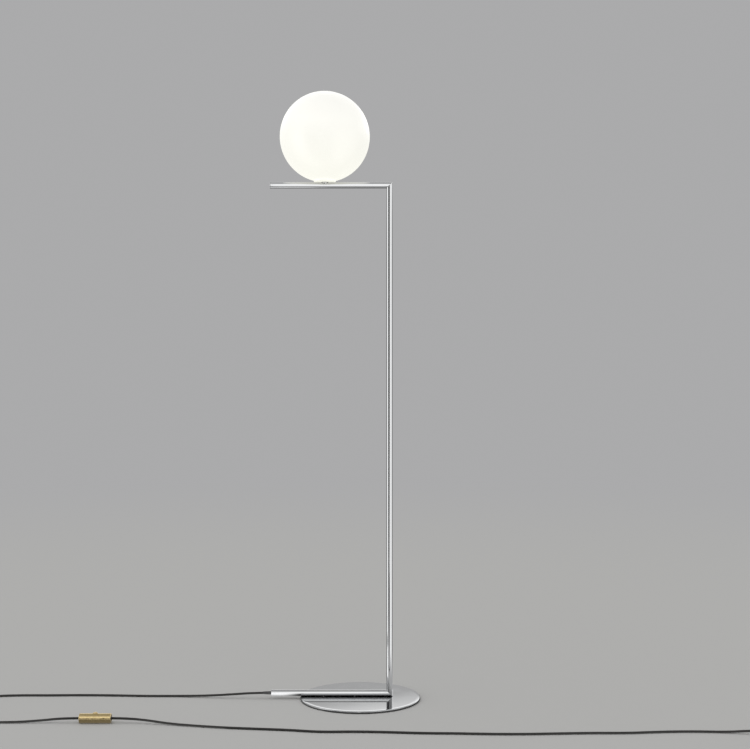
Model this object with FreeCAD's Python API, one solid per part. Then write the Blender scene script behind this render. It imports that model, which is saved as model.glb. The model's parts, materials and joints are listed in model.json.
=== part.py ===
import FreeCAD, Part
import math
import os

# Globe floor lamp. Millimetres. The origin is the centre of the base disc's underside pad, on the floor.
# +Z is up, +X runs from the open side of the frame towards the pole, +Y is away from the cord in front.

Vec = FreeCAD.Vector
UP = Vec(0, 0, 1)
RIGHT = Vec(1, 0, 0)
BACK = Vec(0, 1, 0)

# ---- driving dimensions: globe and frame ----
OVERALL_HEIGHT = 1350.0
GLOBE_DIAMETER = 200.0
GLASS_WALL = 3.0
GLOBE_OPENING = 40.0
GLOBE_X = -79.0
GLOBE_ABOVE_ARM = 1.0
TUBE_DIAMETER = 14.0
TUBE_WALL = 1.5
POLE_X = 65.0
ARM_END_X = -201.0
FOOT_END_X = -198.0
END_CAP_LENGTH = 7.0
EDGE_BREAK = 0.4

# ---- driving dimensions: base ----
DISC_DIAMETER = 266.0
DISC_THICKNESS = 5.0
DISC_EDGE_ROUND = 2.0
PAD_THICKNESS = 1.0
PAD_INSET = 4.0
SCREW_DIAMETER = 4.0
SCREW_HEAD_DIAMETER = 8.0
SCREW_HEAD_HEIGHT = 2.3
SCREW_SOCKET_FLATS = 2.5
SCREW_SOCKET_DEPTH = 1.2
SCREW_XS = (-82.0, -12.0)
NUT_BAR_LENGTH = 96.0
NUT_BAR_HEIGHT = 5.0

# ---- driving dimensions: head ----
STEM_DIAMETER = 8.0
STEM_BORE = 5.6
STEM_LENGTH = 41.0
STEM_CHAMFER = 0.6
BOSS_DIAMETER = 13.0
BOSS_ABOVE_ARM = 1.0
BOSS_SKIRT = 5.0
NUT_FLATS = 11.0
NUT_HEIGHT = 2.6
GALLERY_DIAMETER = 40.0
GALLERY_METAL = 0.8
SEAT_DIAMETER = 48.0
SEAT_BELOW_PLATE = 0.7
SEAT_HOLE_DIAMETER = 16.0
SEAT_GRIP_ABOVE = 2.5
SPRING_COUNT = 3
SPRING_METAL = 0.4
SPRING_WIDTH = 8.0
SPRING_HEIGHT = 13.0
SPRING_FOOT_RADIUS = 8.0
SPRING_LEAN = 3.6
SPRING_BEND = 2.0
SPRING_BULGE_HEIGHT = 7.2
RIVET_DIAMETER = 2.4
RIVET_HEAD_DIAMETER = 4.0
RIVET_HEAD_HEIGHT = 0.7

# ---- driving dimensions: lamp holder and bulb ----
BRACKET_METAL = 1.2
HOLDER_LENGTH = 27.0
HOLDER_WIDTH = 14.0
HOLDER_HEIGHT = 23.0
HOLDER_RECESS_DIAMETER = 13.4
HOLDER_RECESS_DEPTH = 6.0
HOLDER_SCREW_DIAMETER = 2.4
HOLDER_SCREW_HEAD = 4.0
HOLDER_SCREW_HEAD_HEIGHT = 1.6
HOLDER_SCREW_X = 10.8
BULB_BASE_LENGTH = 14.4
BULB_BASE_WIDTH = 8.0
BULB_BASE_HEIGHT = 16.0
BULB_BASE_ROUND = 1.0
BULB_GROOVE_TOP = 12.8
BULB_GROOVE_DEPTH = 0.8
BULB_SEAT_DEPTH = 7.0
BULB_DIAMETER = 14.0
BULB_LENGTH = 50.0
PIN_SPACING = 9.0
PIN_WIRE = 0.8
PIN_LOOP_WIDTH = 2.6
PIN_LENGTH = 5.2
CONTACT_METAL = 0.4
CONTACT_LENGTH = 6.6
CONTACT_WAIST_HEIGHT = 4.0
POCKET_LENGTH = 3.8
POCKET_WIDTH = 3.6
POCKET_DEPTH = 8.0

# ---- driving dimensions: cord, bushes and inner lead ----
CORD_DIAMETER = 5.0
INNER_LEAD_DIAMETER = 4.0
INNER_LEAD_BEND = 18.0
STEM_LEAD_BEND = 11.0
LEAD_DIP_RUN = 41.0
LEAD_FLAT_RUN = 20.5
BUSH_DEPTH = 10.0
BUSH_TAIL = 18.0
BUSH_TAIL_ROOT = 7.4
BUSH_TAIL_TIP = 6.0

# ---- driving dimensions: inline dimmer ----
DIMMER_DIAMETER = 20.0
DIMMER_LENGTH = 66.0
DIMMER_END_X = -513.0
DIMMER_Y = -203.0
DIMMER_WALL = 1.2
DIMMER_CAP_FLANGE = 4.0
DIMMER_CAP_SPIGOT = 5.0
DIMMER_CAP_ROUND = 1.3
DIMMER_BUSH_DIAMETER = 8.0
DIMMER_BUSH_PROUD = 0.8
BOARD_LENGTH = 44.0
BOARD_THICKNESS = 1.6
BOARD_DROP = 1.4
TERMINAL_LENGTH = 7.0
TERMINAL_WIDTH = 10.0
TERMINAL_HEIGHT = 6.5
TERMINAL_HOLE = 2.6
TERMINAL_HOLE_DEPTH = 4.9
TERMINAL_CLAMP_DEPTH = 2.0
TERMINAL_CHAMFER = 1.3
BUTTON_DIAMETER = 9.0
BUTTON_PROUD = 2.8
BUTTON_TRAVEL = 2.0
BUTTON_CROWN = 1.0
BUTTON_DOME = 0.25
BUTTON_FLANGE = 11.0
BUTTON_FLANGE_THICKNESS = 1.0
BUTTON_PIN_DIAMETER = 2.6
SWITCH_SIDE = 4.4
SWITCH_HEIGHT = 2.2
SPRING_WIRE = 0.6
SPRING_MEAN_DIAMETER = 8.2
SPRING_TURNS = 3.0
SPRING_POINTS_PER_TURN = 6
CHOKE_WIRE_RADIUS = 1.6

# ---- driving dimensions: mains plug ----
PLUG_TIP_X = 802.0
PLUG_Y = -287.0
PLUG_THICKNESS = 13.7
PLUG_WIDTH = 35.3
PLUG_NECK_WIDTH = 13.0
PLUG_FRONT_WIDTH = 26.0
PLUG_BODY_LENGTH = 34.0
PLUG_WAIST_REACH = 10.2
PLUG_WAIST_WIDTH = 19.7
PLUG_SHOULDER_REACH = 18.7
PLUG_BEVEL_REACH = 27.2
PLUG_RELIEF_LENGTH = 26.0
PLUG_RELIEF_TIP = 6.6
PLUG_RELIEF_ROOT = 9.6
PLUG_EDGE_ROUND = 2.2
PLUG_CORD_DEPTH = 10.0
PLUG_PIN_SPACING = 18.6
PLUG_PIN_DIAMETER = 4.0
PLUG_PIN_LENGTH = 19.0
PLUG_SLEEVE_LENGTH = 10.0
PLUG_SLEEVE_DIAMETER = 3.6
PLUG_PIN_CORE = 2.4
PLUG_PIN_ROOT = 8.0

# ---- rule for bends ----
ROUND_SHARE = 0.45      # the share of a straight run that the arc at each of its ends may take

# ---- clearances ----
BRAZE_GAP = 0.05        # joined pieces that meet on a curved face
FIT_GAP = 0.1           # a piece held in a bore, on the radius
MOVING_GAP = 0.3        # faces that move past each other
SEAT_GAP = 0.3          # glass above its gasket
FLOOR_GAP = 0.05        # under a round piece that lies on the floor
LEAD_GAP = 0.3          # lead beside the wall of its tube

# ---- derived levels and radii ----
tube_radius = TUBE_DIAMETER / 2
tube_bore = tube_radius - TUBE_WALL
globe_radius = GLOBE_DIAMETER / 2
globe_z = OVERALL_HEIGHT - globe_radius
arm_top = OVERALL_HEIGHT - GLOBE_DIAMETER - GLOBE_ABOVE_ARM
arm_z = arm_top - tube_radius
disc_bottom = PAD_THICKNESS
disc_top = disc_bottom + DISC_THICKNESS
foot_z = disc_top + BRAZE_GAP + tube_radius
boss_top = arm_top + BOSS_ABOVE_ARM
gallery_top = boss_top + GALLERY_METAL
stem_bottom = arm_z + tube_bore
stem_top = stem_bottom + STEM_LENGTH
bracket_bottom = stem_top - NUT_HEIGHT - BRACKET_METAL - FIT_GAP
bracket_top = bracket_bottom + BRACKET_METAL
holder_top = bracket_top + HOLDER_HEIGHT
well_floor = holder_top - BULB_SEAT_DEPTH
dimmer_z = DIMMER_DIAMETER / 2 + FLOOR_GAP
cord_z = CORD_DIAMETER / 2 + FLOOR_GAP
plug_z = PLUG_THICKNESS / 2
head_axis = Vec(GLOBE_X, 0, 0)

# ---- routes of the free cords, chosen by hand ----
LAMP_LEAD_ROUTE = [
    (FOOT_END_X + BUSH_DEPTH, 0.0, foot_z),
    (-236.0, 0.0, foot_z),
    (-290.0, 2.0, 8.8),
    (-349.0, 9.0, 4.2),
    (-414.0, 14.5, cord_z),
    (-480.0, 14.0, cord_z),
    (-551.0, 20.0, cord_z),
    (-623.0, 22.5, cord_z),
    (-696.0, 20.0, cord_z),
    (-765.0, 21.0, cord_z),
    (-827.0, 12.0, cord_z),
    (-874.0, -20.0, cord_z),
    (-900.0, -68.0, cord_z),
    (-903.0, -120.0, cord_z),
    (-878.0, -166.0, cord_z),
    (-832.0, -194.0, cord_z),
    (-772.0, -206.0, cord_z),
    (-708.0, -206.0, cord_z),
    (-654.0, -202.0, 5.4),
    (-613.0, DIMMER_Y, dimmer_z),
    (DIMMER_END_X - DIMMER_LENGTH + BUSH_DEPTH, DIMMER_Y, dimmer_z),
]
PLUG_LEAD_ROUTE = [
    (DIMMER_END_X - BUSH_DEPTH, DIMMER_Y, dimmer_z),
    (-484.0, DIMMER_Y, dimmer_z),
    (-440.0, -209.0, 7.6),
    (-390.0, -219.5, 3.0),
    (-335.0, -233.5, cord_z),
    (-272.0, -247.5, cord_z),
    (-205.0, -256.5, cord_z),
    (-141.0, -264.5, cord_z),
    (-80.0, -279.5, cord_z),
    (-12.0, -276.0, cord_z),
    (57.0, -280.0, cord_z),
    (125.0, -288.0, cord_z),
    (195.0, -289.5, cord_z),
    (265.0, -294.5, cord_z),
    (335.0, -295.0, cord_z),
    (402.0, -290.5, cord_z),
    (470.0, -286.5, cord_z),
    (540.0, -287.5, cord_z),
    (608.0, -278.0, cord_z),
    (676.0, -275.0, cord_z),
    (741.0, -280.0, cord_z),
    (782.0, PLUG_Y, plug_z),
    (PLUG_TIP_X + PLUG_CORD_DEPTH, PLUG_Y, plug_z),
]


# ---- helpers ----
def save(name, shape):
    if not shape.isValid():
        print("invalid shape:", name)
    shape.exportStep("parts/" + name + ".step")
    print(name, "solids", len(shape.Solids), "volume", round(shape.Volume, 1))


def rod(diameter, start, end):
    """A cylinder between two points."""
    along = end - start
    return Part.makeCylinder(diameter / 2, along.Length, start, along)


def pipe(outer_diameter, bore_diameter, start, end):
    """A straight round tube between two points."""
    return rod(outer_diameter, start, end).cut(rod(bore_diameter, start, end))


def turned(profile, centre, axis=UP):
    """A turned solid: profile is a closed list of (radius, height) points, height along axis from centre."""
    points = [Vec(radius, 0, height) for radius, height in profile]
    face = Part.Face(Part.makePolygon(points + points[:1]))
    solid = face.revolve(Vec(), UP, 360)
    solid.Placement = FreeCAD.Placement(centre, FreeCAD.Rotation(UP, axis))
    return solid


def block(low, high):
    """A box between two corners."""
    size = Vec(*high) - Vec(*low)
    return Part.makeBox(size.x, size.y, size.z, Vec(*low))


def hexagon(flats, height, base):
    """A hexagonal prism, as wide across its flats as given."""
    corner = flats / math.sqrt(3)
    angles = [math.radians(60 * i) for i in range(6)]
    points = [base + Vec(corner * math.cos(a), corner * math.sin(a), 0) for a in angles]
    return Part.Face(Part.makePolygon(points + points[:1])).extrude(UP * height)


def edges_where(shape, test):
    """The edges whose middle point passes the test."""
    found = []
    for edge in shape.Edges:
        middle = edge.valueAt((edge.FirstParameter + edge.LastParameter) / 2)
        if test(middle, edge):
            found.append(edge)
    return found


def runs_along(edge, axis):
    """True for an edge that sets out nearly parallel to an axis."""
    return abs(edge.tangentAt(edge.FirstParameter).dot(axis)) > math.cos(math.radians(45))


def round_path(points, largest=None, name=None):
    """Straight runs joined by tangent arcs, each as large as its two runs allow, or as its own limit in a list."""
    corners = [Vec(*point) for point in points]
    limits = largest or [math.inf] * (len(points) - 2)
    edges = []
    radii = []
    last = corners[0]
    for before, corner, after, limit in zip(corners, corners[1:], corners[2:], limits):
        inward = (corner - before).normalize()
        outward = (after - corner).normalize()
        half_turn = inward.getAngle(outward) / 2
        room = ROUND_SHARE * min((corner - before).Length, (after - corner).Length)
        radius = min(room / math.tan(half_turn), limit)
        reach = radius * math.tan(half_turn)
        start = corner - inward * reach
        end = corner + outward * reach
        towards = (outward - inward).normalize()
        middle = corner + towards * (radius / math.cos(half_turn) - radius)
        edges.append(Part.LineSegment(last, start).toShape())
        edges.append(Part.Arc(start, middle, end).toShape())
        radii.append(radius)
        last = end
    edges.append(Part.LineSegment(last, corners[-1]).toShape())
    if name:
        print(name, "radii", [round(radius) for radius in radii])
    return Part.Wire(edges)


def cord(name, route, diameter, largest=None):
    """A plain round cord along a route. Its volume is compared with section times length."""
    path = round_path(route, largest, name)
    start = Vec(*route[0])
    heading = Vec(*route[1]) - start
    ring = Part.Wire(Part.makeCircle(diameter / 2, start, heading))
    solid = path.makePipeShell([ring], True, False)
    expected = math.pi * diameter ** 2 / 4 * path.Length
    print(name, "length", round(path.Length), "volume ratio", round(solid.Volume / expected, 5))
    return solid


def around_head(shape, count):
    """Copies of a shape, evenly spaced round the axis of the head."""
    copies = []
    for i in range(count):
        copy = shape.copy()
        copy.rotate(head_axis, UP, 360 * i / count)
        copies.append(copy)
    return copies


def on_head(radius, height):
    """A point in the plane of the frame, at a radius from the head's axis."""
    return Vec(GLOBE_X + radius, 0, height)


# ---- base ----
def screw_solid(x):
    """A countersunk screw with a hexagon socket, its head flush with the disc's underside."""
    head = SCREW_HEAD_DIAMETER / 2
    shank = SCREW_DIAMETER / 2
    tip = foot_z - tube_bore + NUT_BAR_HEIGHT - disc_bottom - FIT_GAP
    profile = [(0, 0), (head, 0), (shank, SCREW_HEAD_HEIGHT), (shank, tip - shank / 2), (shank / 2, tip), (0, tip)]
    screw = turned(profile, Vec(x, 0, disc_bottom))
    socket = hexagon(SCREW_SOCKET_FLATS, SCREW_SOCKET_DEPTH, Vec(x, 0, disc_bottom))
    return screw.cut(socket)


def screw_hole(x):
    """The countersunk clearance hole for a screw, through the disc and the tube's lower wall."""
    head = SCREW_HEAD_DIAMETER / 2 + FIT_GAP
    shank = SCREW_DIAMETER / 2 + FIT_GAP
    end = foot_z - disc_bottom
    profile = [(0, 0), (head, 0), (shank, SCREW_HEAD_HEIGHT + FIT_GAP), (shank, end), (0, end)]
    return turned(profile, Vec(x, 0, disc_bottom))


screw_holes = Part.makeCompound([screw_hole(x) for x in SCREW_XS])


def base_disc():
    disc = Part.makeCylinder(DISC_DIAMETER / 2, DISC_THICKNESS, Vec(0, 0, disc_bottom))
    rim = edges_where(disc, lambda middle, edge: middle.z > disc_top - FIT_GAP)
    return disc.makeFillet(DISC_EDGE_ROUND, rim).cut(screw_holes)


def base_pad():
    return Part.makeCylinder(DISC_DIAMETER / 2 - PAD_INSET, PAD_THICKNESS)


def foot_nut_bar():
    """A bar that fills the lower part of the foot tube's bore, under the lead."""
    middle = sum(SCREW_XS) / len(SCREW_XS)
    start = Vec(middle - NUT_BAR_LENGTH / 2, 0, foot_z)
    bar = rod(2 * (tube_bore - FIT_GAP), start, start + RIGHT * NUT_BAR_LENGTH)
    top = foot_z - tube_bore + NUT_BAR_HEIGHT
    bar = bar.cut(block((start.x, -tube_bore, top), (start.x + NUT_BAR_LENGTH, tube_bore, foot_z + tube_bore)))
    return bar.cut(screw_holes)


# ---- frame: three tubes brazed at sharp mitres ----
def far_side(corner, normal):
    """A half space, as a large block, on the side of a corner that the normal points to."""
    size = OVERALL_HEIGHT
    half = Part.makeBox(size, size, size, Vec(-size / 2, -size / 2, 0))
    half.Placement = FreeCAD.Placement(corner, FreeCAD.Rotation(UP, normal))
    return half


foot_corner = Vec(POLE_X, 0, foot_z)
arm_corner = Vec(POLE_X, 0, arm_z)
foot_mitre = Vec(1, 0, 1)
arm_mitre = Vec(1, 0, -1)


def frame_tube(start, end):
    return pipe(TUBE_DIAMETER, 2 * tube_bore, start, end)


def foot_tube():
    tube = frame_tube(Vec(FOOT_END_X, 0, foot_z), foot_corner + RIGHT * TUBE_DIAMETER)
    return tube.cut(far_side(foot_corner, foot_mitre)).cut(screw_holes)


def pole():
    tube = frame_tube(foot_corner - UP * TUBE_DIAMETER, arm_corner + UP * TUBE_DIAMETER)
    tube = tube.cut(far_side(foot_corner, -foot_mitre))
    return tube.cut(far_side(arm_corner, -arm_mitre))


def upper_arm():
    """The arm, with the hole that the stem stands in."""
    start = Vec(ARM_END_X + TUBE_WALL, 0, arm_z)
    tube = frame_tube(start, arm_corner + RIGHT * TUBE_DIAMETER).cut(far_side(arm_corner, arm_mitre))
    return tube.cut(rod(STEM_DIAMETER + 2 * FIT_GAP, on_head(0, arm_z), on_head(0, arm_top + TUBE_WALL)))


def arm_end_cap():
    """A turned plug: a flange as wide as the tube and a stepped spigot in its bore."""
    spigot = tube_bore - FIT_GAP
    profile = [
        (0, 0),
        (tube_radius - EDGE_BREAK, 0),
        (tube_radius, EDGE_BREAK),
        (tube_radius, TUBE_WALL),
        (spigot, TUBE_WALL),
        (spigot, END_CAP_LENGTH),
        (spigot - EDGE_BREAK, END_CAP_LENGTH + EDGE_BREAK),
        (0, END_CAP_LENGTH + EDGE_BREAK),
    ]
    return turned(profile, Vec(ARM_END_X, 0, arm_z), RIGHT)


def foot_cord_bush():
    """The black bush in the open end of the foot tube, with a slim tapered tail round the cord."""
    body = tube_bore - FIT_GAP
    bore = CORD_DIAMETER / 2 + FIT_GAP
    profile = [
        (bore, -BUSH_DEPTH),
        (body, -BUSH_DEPTH),
        (body, -FIT_GAP),
        (BUSH_TAIL_ROOT / 2, -FIT_GAP),
        (BUSH_TAIL_TIP / 2, BUSH_TAIL),
        (bore, BUSH_TAIL),
    ]
    return turned(profile, Vec(FOOT_END_X, 0, foot_z), -RIGHT)


# ---- head: boss, stem, nuts, gallery, gasket and springs ----
def saddle_boss():
    """A boss brazed on the arm, hollowed below to the tube's curve, with the stem's hole."""
    base = on_head(0, arm_top - BOSS_SKIRT)
    boss = rod(BOSS_DIAMETER, base, on_head(0, boss_top))
    along = RIGHT * BOSS_DIAMETER
    boss = boss.cut(rod(TUBE_DIAMETER + 2 * BRAZE_GAP, on_head(0, arm_z) - along, on_head(0, arm_z) + along))
    return boss.cut(rod(STEM_DIAMETER + 2 * FIT_GAP, on_head(0, arm_z), on_head(0, boss_top)))


def stem():
    tube = pipe(STEM_DIAMETER, STEM_BORE, on_head(0, stem_bottom), on_head(0, stem_top))
    ends = edges_where(tube, lambda middle, edge: (middle - on_head(0, middle.z)).Length > STEM_BORE / 2 + FIT_GAP)
    rings = [edge for edge in ends if edge.Closed]
    return tube.makeChamfer(STEM_CHAMFER, rings)


def hex_nut(bottom):
    """A thin hexagon nut with turned-off corners."""
    nut = hexagon(NUT_FLATS, NUT_HEIGHT, on_head(0, bottom))
    corner = NUT_FLATS / math.sqrt(3)
    slope = corner - NUT_FLATS / 2
    turned_off = turned(
        [(0, 0), (NUT_FLATS / 2, 0), (corner, slope / 2), (corner, NUT_HEIGHT - slope / 2),
         (NUT_FLATS / 2, NUT_HEIGHT), (0, NUT_HEIGHT)],
        on_head(0, bottom),
    )
    bore = rod(STEM_DIAMETER + 2 * FIT_GAP, on_head(0, bottom), on_head(0, bottom + NUT_HEIGHT))
    return nut.common(turned_off).cut(bore)


def stem_nuts():
    """One nut clamps the gallery on the boss, and one on each side clamps the holder's bracket."""
    return Part.makeCompound([hex_nut(z) for z in (gallery_top, bracket_bottom - NUT_HEIGHT, bracket_top)])


def gallery():
    """A flat round plate, clamped on the boss, no wider than the globe's opening."""
    plate = pipe(GALLERY_DIAMETER, STEM_DIAMETER + 2 * FIT_GAP, on_head(0, boss_top), on_head(0, gallery_top))
    rivet = rod(RIVET_DIAMETER + 2 * FIT_GAP, on_head(rivet_radius, boss_top), on_head(rivet_radius, gallery_top))
    return plate.cut(Part.makeCompound(around_head(rivet, SPRING_COUNT)))


def gallery_gasket():
    """The moulded seat: a boot stretched over the plate's rim, hollowed on top to the globe's curve."""
    rim = GALLERY_DIAMETER / 2
    hole = SEAT_HOLE_DIAMETER / 2
    outer = SEAT_DIAMETER / 2
    groove = rim + FIT_GAP
    profile = [
        (hole, -SEAT_BELOW_PLATE),
        (outer - EDGE_BREAK, -SEAT_BELOW_PLATE),
        (outer, -SEAT_BELOW_PLATE + EDGE_BREAK),
        (outer, globe_z - boss_top),
        (rim - SEAT_GRIP_ABOVE, globe_z - boss_top),
        (rim - SEAT_GRIP_ABOVE, GALLERY_METAL),
        (groove, GALLERY_METAL),
        (groove, 0),
        (hole, 0),
    ]
    ring = turned(profile, on_head(0, boss_top))
    return ring.cut(Part.makeSphere(globe_radius + SEAT_GAP, on_head(0, globe_z)))


spring_reach = GLOBE_OPENING / 2 - MOVING_GAP - SPRING_METAL / 2
spring_root = spring_reach - SPRING_LEAN
rivet_radius = (SPRING_FOOT_RADIUS + spring_root - SPRING_BEND) / 2


def leaf_spring():
    """One leaf: a foot on the gallery, a leg up through the opening and a bulge above the glass."""
    level = gallery_top + SPRING_METAL / 2
    tip = level + SPRING_HEIGHT
    route = [
        on_head(SPRING_FOOT_RADIUS, level),
        on_head(spring_root, level),
        on_head(spring_reach, level + SPRING_BULGE_HEIGHT),
        on_head(spring_root, tip),
    ]
    path = round_path(route, [SPRING_BEND] * 2)
    low = route[0] + Vec(0, -SPRING_WIDTH / 2, -SPRING_METAL / 2)
    corners = [low, low + BACK * SPRING_WIDTH, low + BACK * SPRING_WIDTH + UP * SPRING_METAL, low + UP * SPRING_METAL]
    section = Part.makePolygon(corners + corners[:1])
    leaf = path.makePipeShell([section], True, False)
    hole = rod(RIVET_DIAMETER + 2 * FIT_GAP, on_head(rivet_radius, gallery_top), on_head(rivet_radius, tip))
    return leaf.cut(hole)


def gallery_springs():
    return Part.makeCompound(around_head(leaf_spring(), SPRING_COUNT))


def spring_rivets():
    """Rivets with a low head on the leaf, flush with the gallery's underside."""
    shank = RIVET_DIAMETER / 2
    head = RIVET_HEAD_DIAMETER / 2
    stack = GALLERY_METAL + SPRING_METAL
    top = stack + RIVET_HEAD_HEIGHT
    profile = [(0, 0), (shank, 0), (shank, stack), (head, stack), (head, stack + RIVET_HEAD_HEIGHT / 2),
               (head - RIVET_HEAD_HEIGHT, top), (0, top)]
    rivet = turned(profile, on_head(rivet_radius, boss_top))
    return Part.makeCompound(around_head(rivet, SPRING_COUNT))


# ---- lamp holder ----
def stadium(length, width, bottom, top):
    """An upright prism with two round ends, centred on the head's axis."""
    reach = (length - width) / 2
    middle = block((GLOBE_X - reach, -width / 2, bottom), (GLOBE_X + reach, width / 2, top))
    ends = [rod(width, on_head(side * reach, bottom), on_head(side * reach, top)) for side in (-1, 1)]
    return middle.fuse(ends).removeSplitter()


def each_side(make):
    """Two copies of a piece, one on each side of the head's axis."""
    return Part.makeCompound([make(side) for side in (-1, 1)])


def holder_bracket():
    """A flat strap with round ends, on the stem between two nuts, with the holder's screw holes."""
    strap = stadium(HOLDER_LENGTH, HOLDER_WIDTH, bracket_bottom, bracket_top)
    strap = strap.cut(rod(STEM_DIAMETER + 2 * FIT_GAP, on_head(0, bracket_bottom), on_head(0, bracket_top)))
    return strap.cut(each_side(lambda side: holder_screw_hole(side, bracket_bottom)))


def holder_screw_hole(side, bottom):
    x = side * HOLDER_SCREW_X
    return rod(HOLDER_SCREW_DIAMETER + 2 * FIT_GAP, on_head(x, bottom), on_head(x, holder_top))


def contact_pocket(side):
    """The pocket under one pin of the bulb, open to the well above it."""
    x = GLOBE_X + side * PIN_SPACING / 2
    low = (x - POCKET_LENGTH / 2, -POCKET_WIDTH / 2, well_floor - POCKET_DEPTH)
    high = (x + POCKET_LENGTH / 2, POCKET_WIDTH / 2, well_floor)
    return block(low, high)


def holder_screw_seat(side):
    x = side * HOLDER_SCREW_X
    seat = holder_top - HOLDER_SCREW_HEAD_HEIGHT
    return rod(HOLDER_SCREW_HEAD + 2 * FIT_GAP, on_head(x, seat), on_head(x, holder_top))


def lamp_holder():
    """The ceramic holder: a well for the bulb's base, two contact pockets and a recess for the stem's nut."""
    body = stadium(HOLDER_LENGTH, HOLDER_WIDTH, bracket_top, holder_top)
    reach = BULB_BASE_LENGTH / 2 + MOVING_GAP
    half = BULB_BASE_WIDTH / 2 + MOVING_GAP
    body = body.cut(block((GLOBE_X - reach, -half, well_floor), (GLOBE_X + reach, half, holder_top)))
    body = body.cut(each_side(contact_pocket)).cut(each_side(holder_screw_seat))
    body = body.cut(each_side(lambda side: holder_screw_hole(side, bracket_top)))
    return body.cut(rod(HOLDER_RECESS_DIAMETER, on_head(0, bracket_top), on_head(0, bracket_top + HOLDER_RECESS_DEPTH)))


def holder_contacts():
    """Folded leaves, one in each pocket, open at the top and gripping the pin's loop."""
    def contact(side):
        x = side * PIN_SPACING / 2
        low = well_floor - POCKET_DEPTH + CONTACT_METAL / 2
        out = POCKET_WIDTH / 2 - CONTACT_METAL / 2 - FIT_GAP
        waist = PIN_WIRE / 2 + FIT_GAP + CONTACT_METAL / 2
        route = [
            on_head(x, low + CONTACT_LENGTH) - BACK * out,
            on_head(x, low + CONTACT_WAIST_HEIGHT) - BACK * waist,
            on_head(x, low) - BACK * out,
            on_head(x, low) + BACK * out,
            on_head(x, low + CONTACT_WAIST_HEIGHT) + BACK * waist,
            on_head(x, low + CONTACT_LENGTH) + BACK * out,
        ]
        path = round_path(route, [CONTACT_METAL] * 4)
        heading = (route[1] - route[0]).normalize()
        across = heading.cross(RIGHT) * (CONTACT_METAL / 2)
        wide = RIGHT * (PIN_LOOP_WIDTH / 2)
        corners = [route[0] + across + wide, route[0] + across - wide, route[0] - across - wide, route[0] - across + wide]
        return path.makePipeShell([Part.makePolygon(corners + corners[:1])], True, False)
    return each_side(contact)


def holder_screws():
    """Slotted cheese-head screws that hold the holder on its bracket."""
    def screw(side):
        x = side * HOLDER_SCREW_X
        head = HOLDER_SCREW_HEAD / 2
        shank = HOLDER_SCREW_DIAMETER / 2
        seat = holder_top - HOLDER_SCREW_HEAD_HEIGHT
        length = seat - bracket_bottom
        top = length + HOLDER_SCREW_HEAD_HEIGHT
        profile = [(0, 0), (shank, 0), (shank, length), (head, length), (head, top), (0, top)]
        slot = HOLDER_SCREW_HEAD_HEIGHT / 2
        cut = block(
            (GLOBE_X + x - head, -slot / 2, holder_top - slot),
            (GLOBE_X + x + head, slot / 2, holder_top),
        )
        return turned(profile, on_head(x, bracket_bottom)).cut(cut)
    return each_side(screw)


# ---- bulb ----
def bulb_base():
    """The pressed base of the bulb, seated on the floor of the holder's well."""
    reach = BULB_BASE_LENGTH / 2
    half = BULB_BASE_WIDTH / 2
    base = block((GLOBE_X - reach, -half, well_floor), (GLOBE_X + reach, half, well_floor + BULB_BASE_HEIGHT))
    upright = edges_where(base, lambda middle, edge: runs_along(edge, UP))
    base = base.makeFillet(BULB_BASE_ROUND, upright)
    groove = block(
        (GLOBE_X - reach, -half, well_floor + BULB_SEAT_DEPTH),
        (GLOBE_X + reach, -half + BULB_GROOVE_DEPTH, well_floor + BULB_GROOVE_TOP),
    )
    return base.cut(groove)


def bulb_envelope():
    """A frosted capsule on the base, domed at the top."""
    radius = BULB_DIAMETER / 2
    bottom = well_floor + BULB_BASE_HEIGHT
    shoulder = bottom + BULB_LENGTH - radius
    capsule = rod(BULB_DIAMETER, on_head(0, bottom), on_head(0, shoulder))
    return capsule.fuse(Part.makeSphere(radius, on_head(0, shoulder))).removeSplitter()


def bulb_pins():
    """Two wire loops under the base."""
    def loop(side):
        left = side * PIN_SPACING / 2 - (PIN_LOOP_WIDTH - PIN_WIRE) / 2
        right = side * PIN_SPACING / 2 + (PIN_LOOP_WIDTH - PIN_WIRE) / 2
        low = well_floor - PIN_LENGTH + PIN_WIRE / 2
        bend = (right - left) / 2
        start = on_head(left, well_floor)
        edges = [
            Part.LineSegment(start, on_head(left, low + bend)).toShape(),
            Part.Arc(on_head(left, low + bend), on_head(left + bend, low), on_head(right, low + bend)).toShape(),
            Part.LineSegment(on_head(right, low + bend), on_head(right, well_floor)).toShape(),
        ]
        return Part.Wire(edges).makePipeShell([Part.Wire(Part.makeCircle(PIN_WIRE / 2, start, UP))], True, False)
    return each_side(loop)


# ---- globe ----
def globe():
    """An opal glass sphere with one opening at the bottom, its edge fire-polished round."""
    inner = globe_radius - GLASS_WALL
    middle = globe_radius - GLASS_WALL / 2
    lip_angle = math.asin((GLOBE_OPENING / 2 + GLASS_WALL / 2) / middle)
    lip_middle = Vec(middle * math.sin(lip_angle), 0, -middle * math.cos(lip_angle))
    inward = Vec(-math.cos(lip_angle), 0, -math.sin(lip_angle))

    def on_sphere(radius, angle):
        return Vec(radius * math.sin(angle), 0, -radius * math.cos(angle))

    halfway = (math.pi + lip_angle) / 2
    outer_edge = Part.Arc(on_sphere(globe_radius, lip_angle), on_sphere(globe_radius, halfway), UP * globe_radius)
    inner_edge = Part.Arc(UP * inner, on_sphere(inner, halfway), on_sphere(inner, lip_angle))
    lip = Part.Arc(on_sphere(inner, lip_angle), lip_middle + inward * (GLASS_WALL / 2),
                   on_sphere(globe_radius, lip_angle))
    crown = Part.LineSegment(UP * globe_radius, UP * inner)
    outline = Part.Wire([edge.toShape() for edge in (outer_edge, crown, inner_edge, lip)])
    shell = Part.Face(outline).revolve(Vec(), UP, 360)
    shell.translate(on_head(0, globe_z))
    return shell


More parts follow.
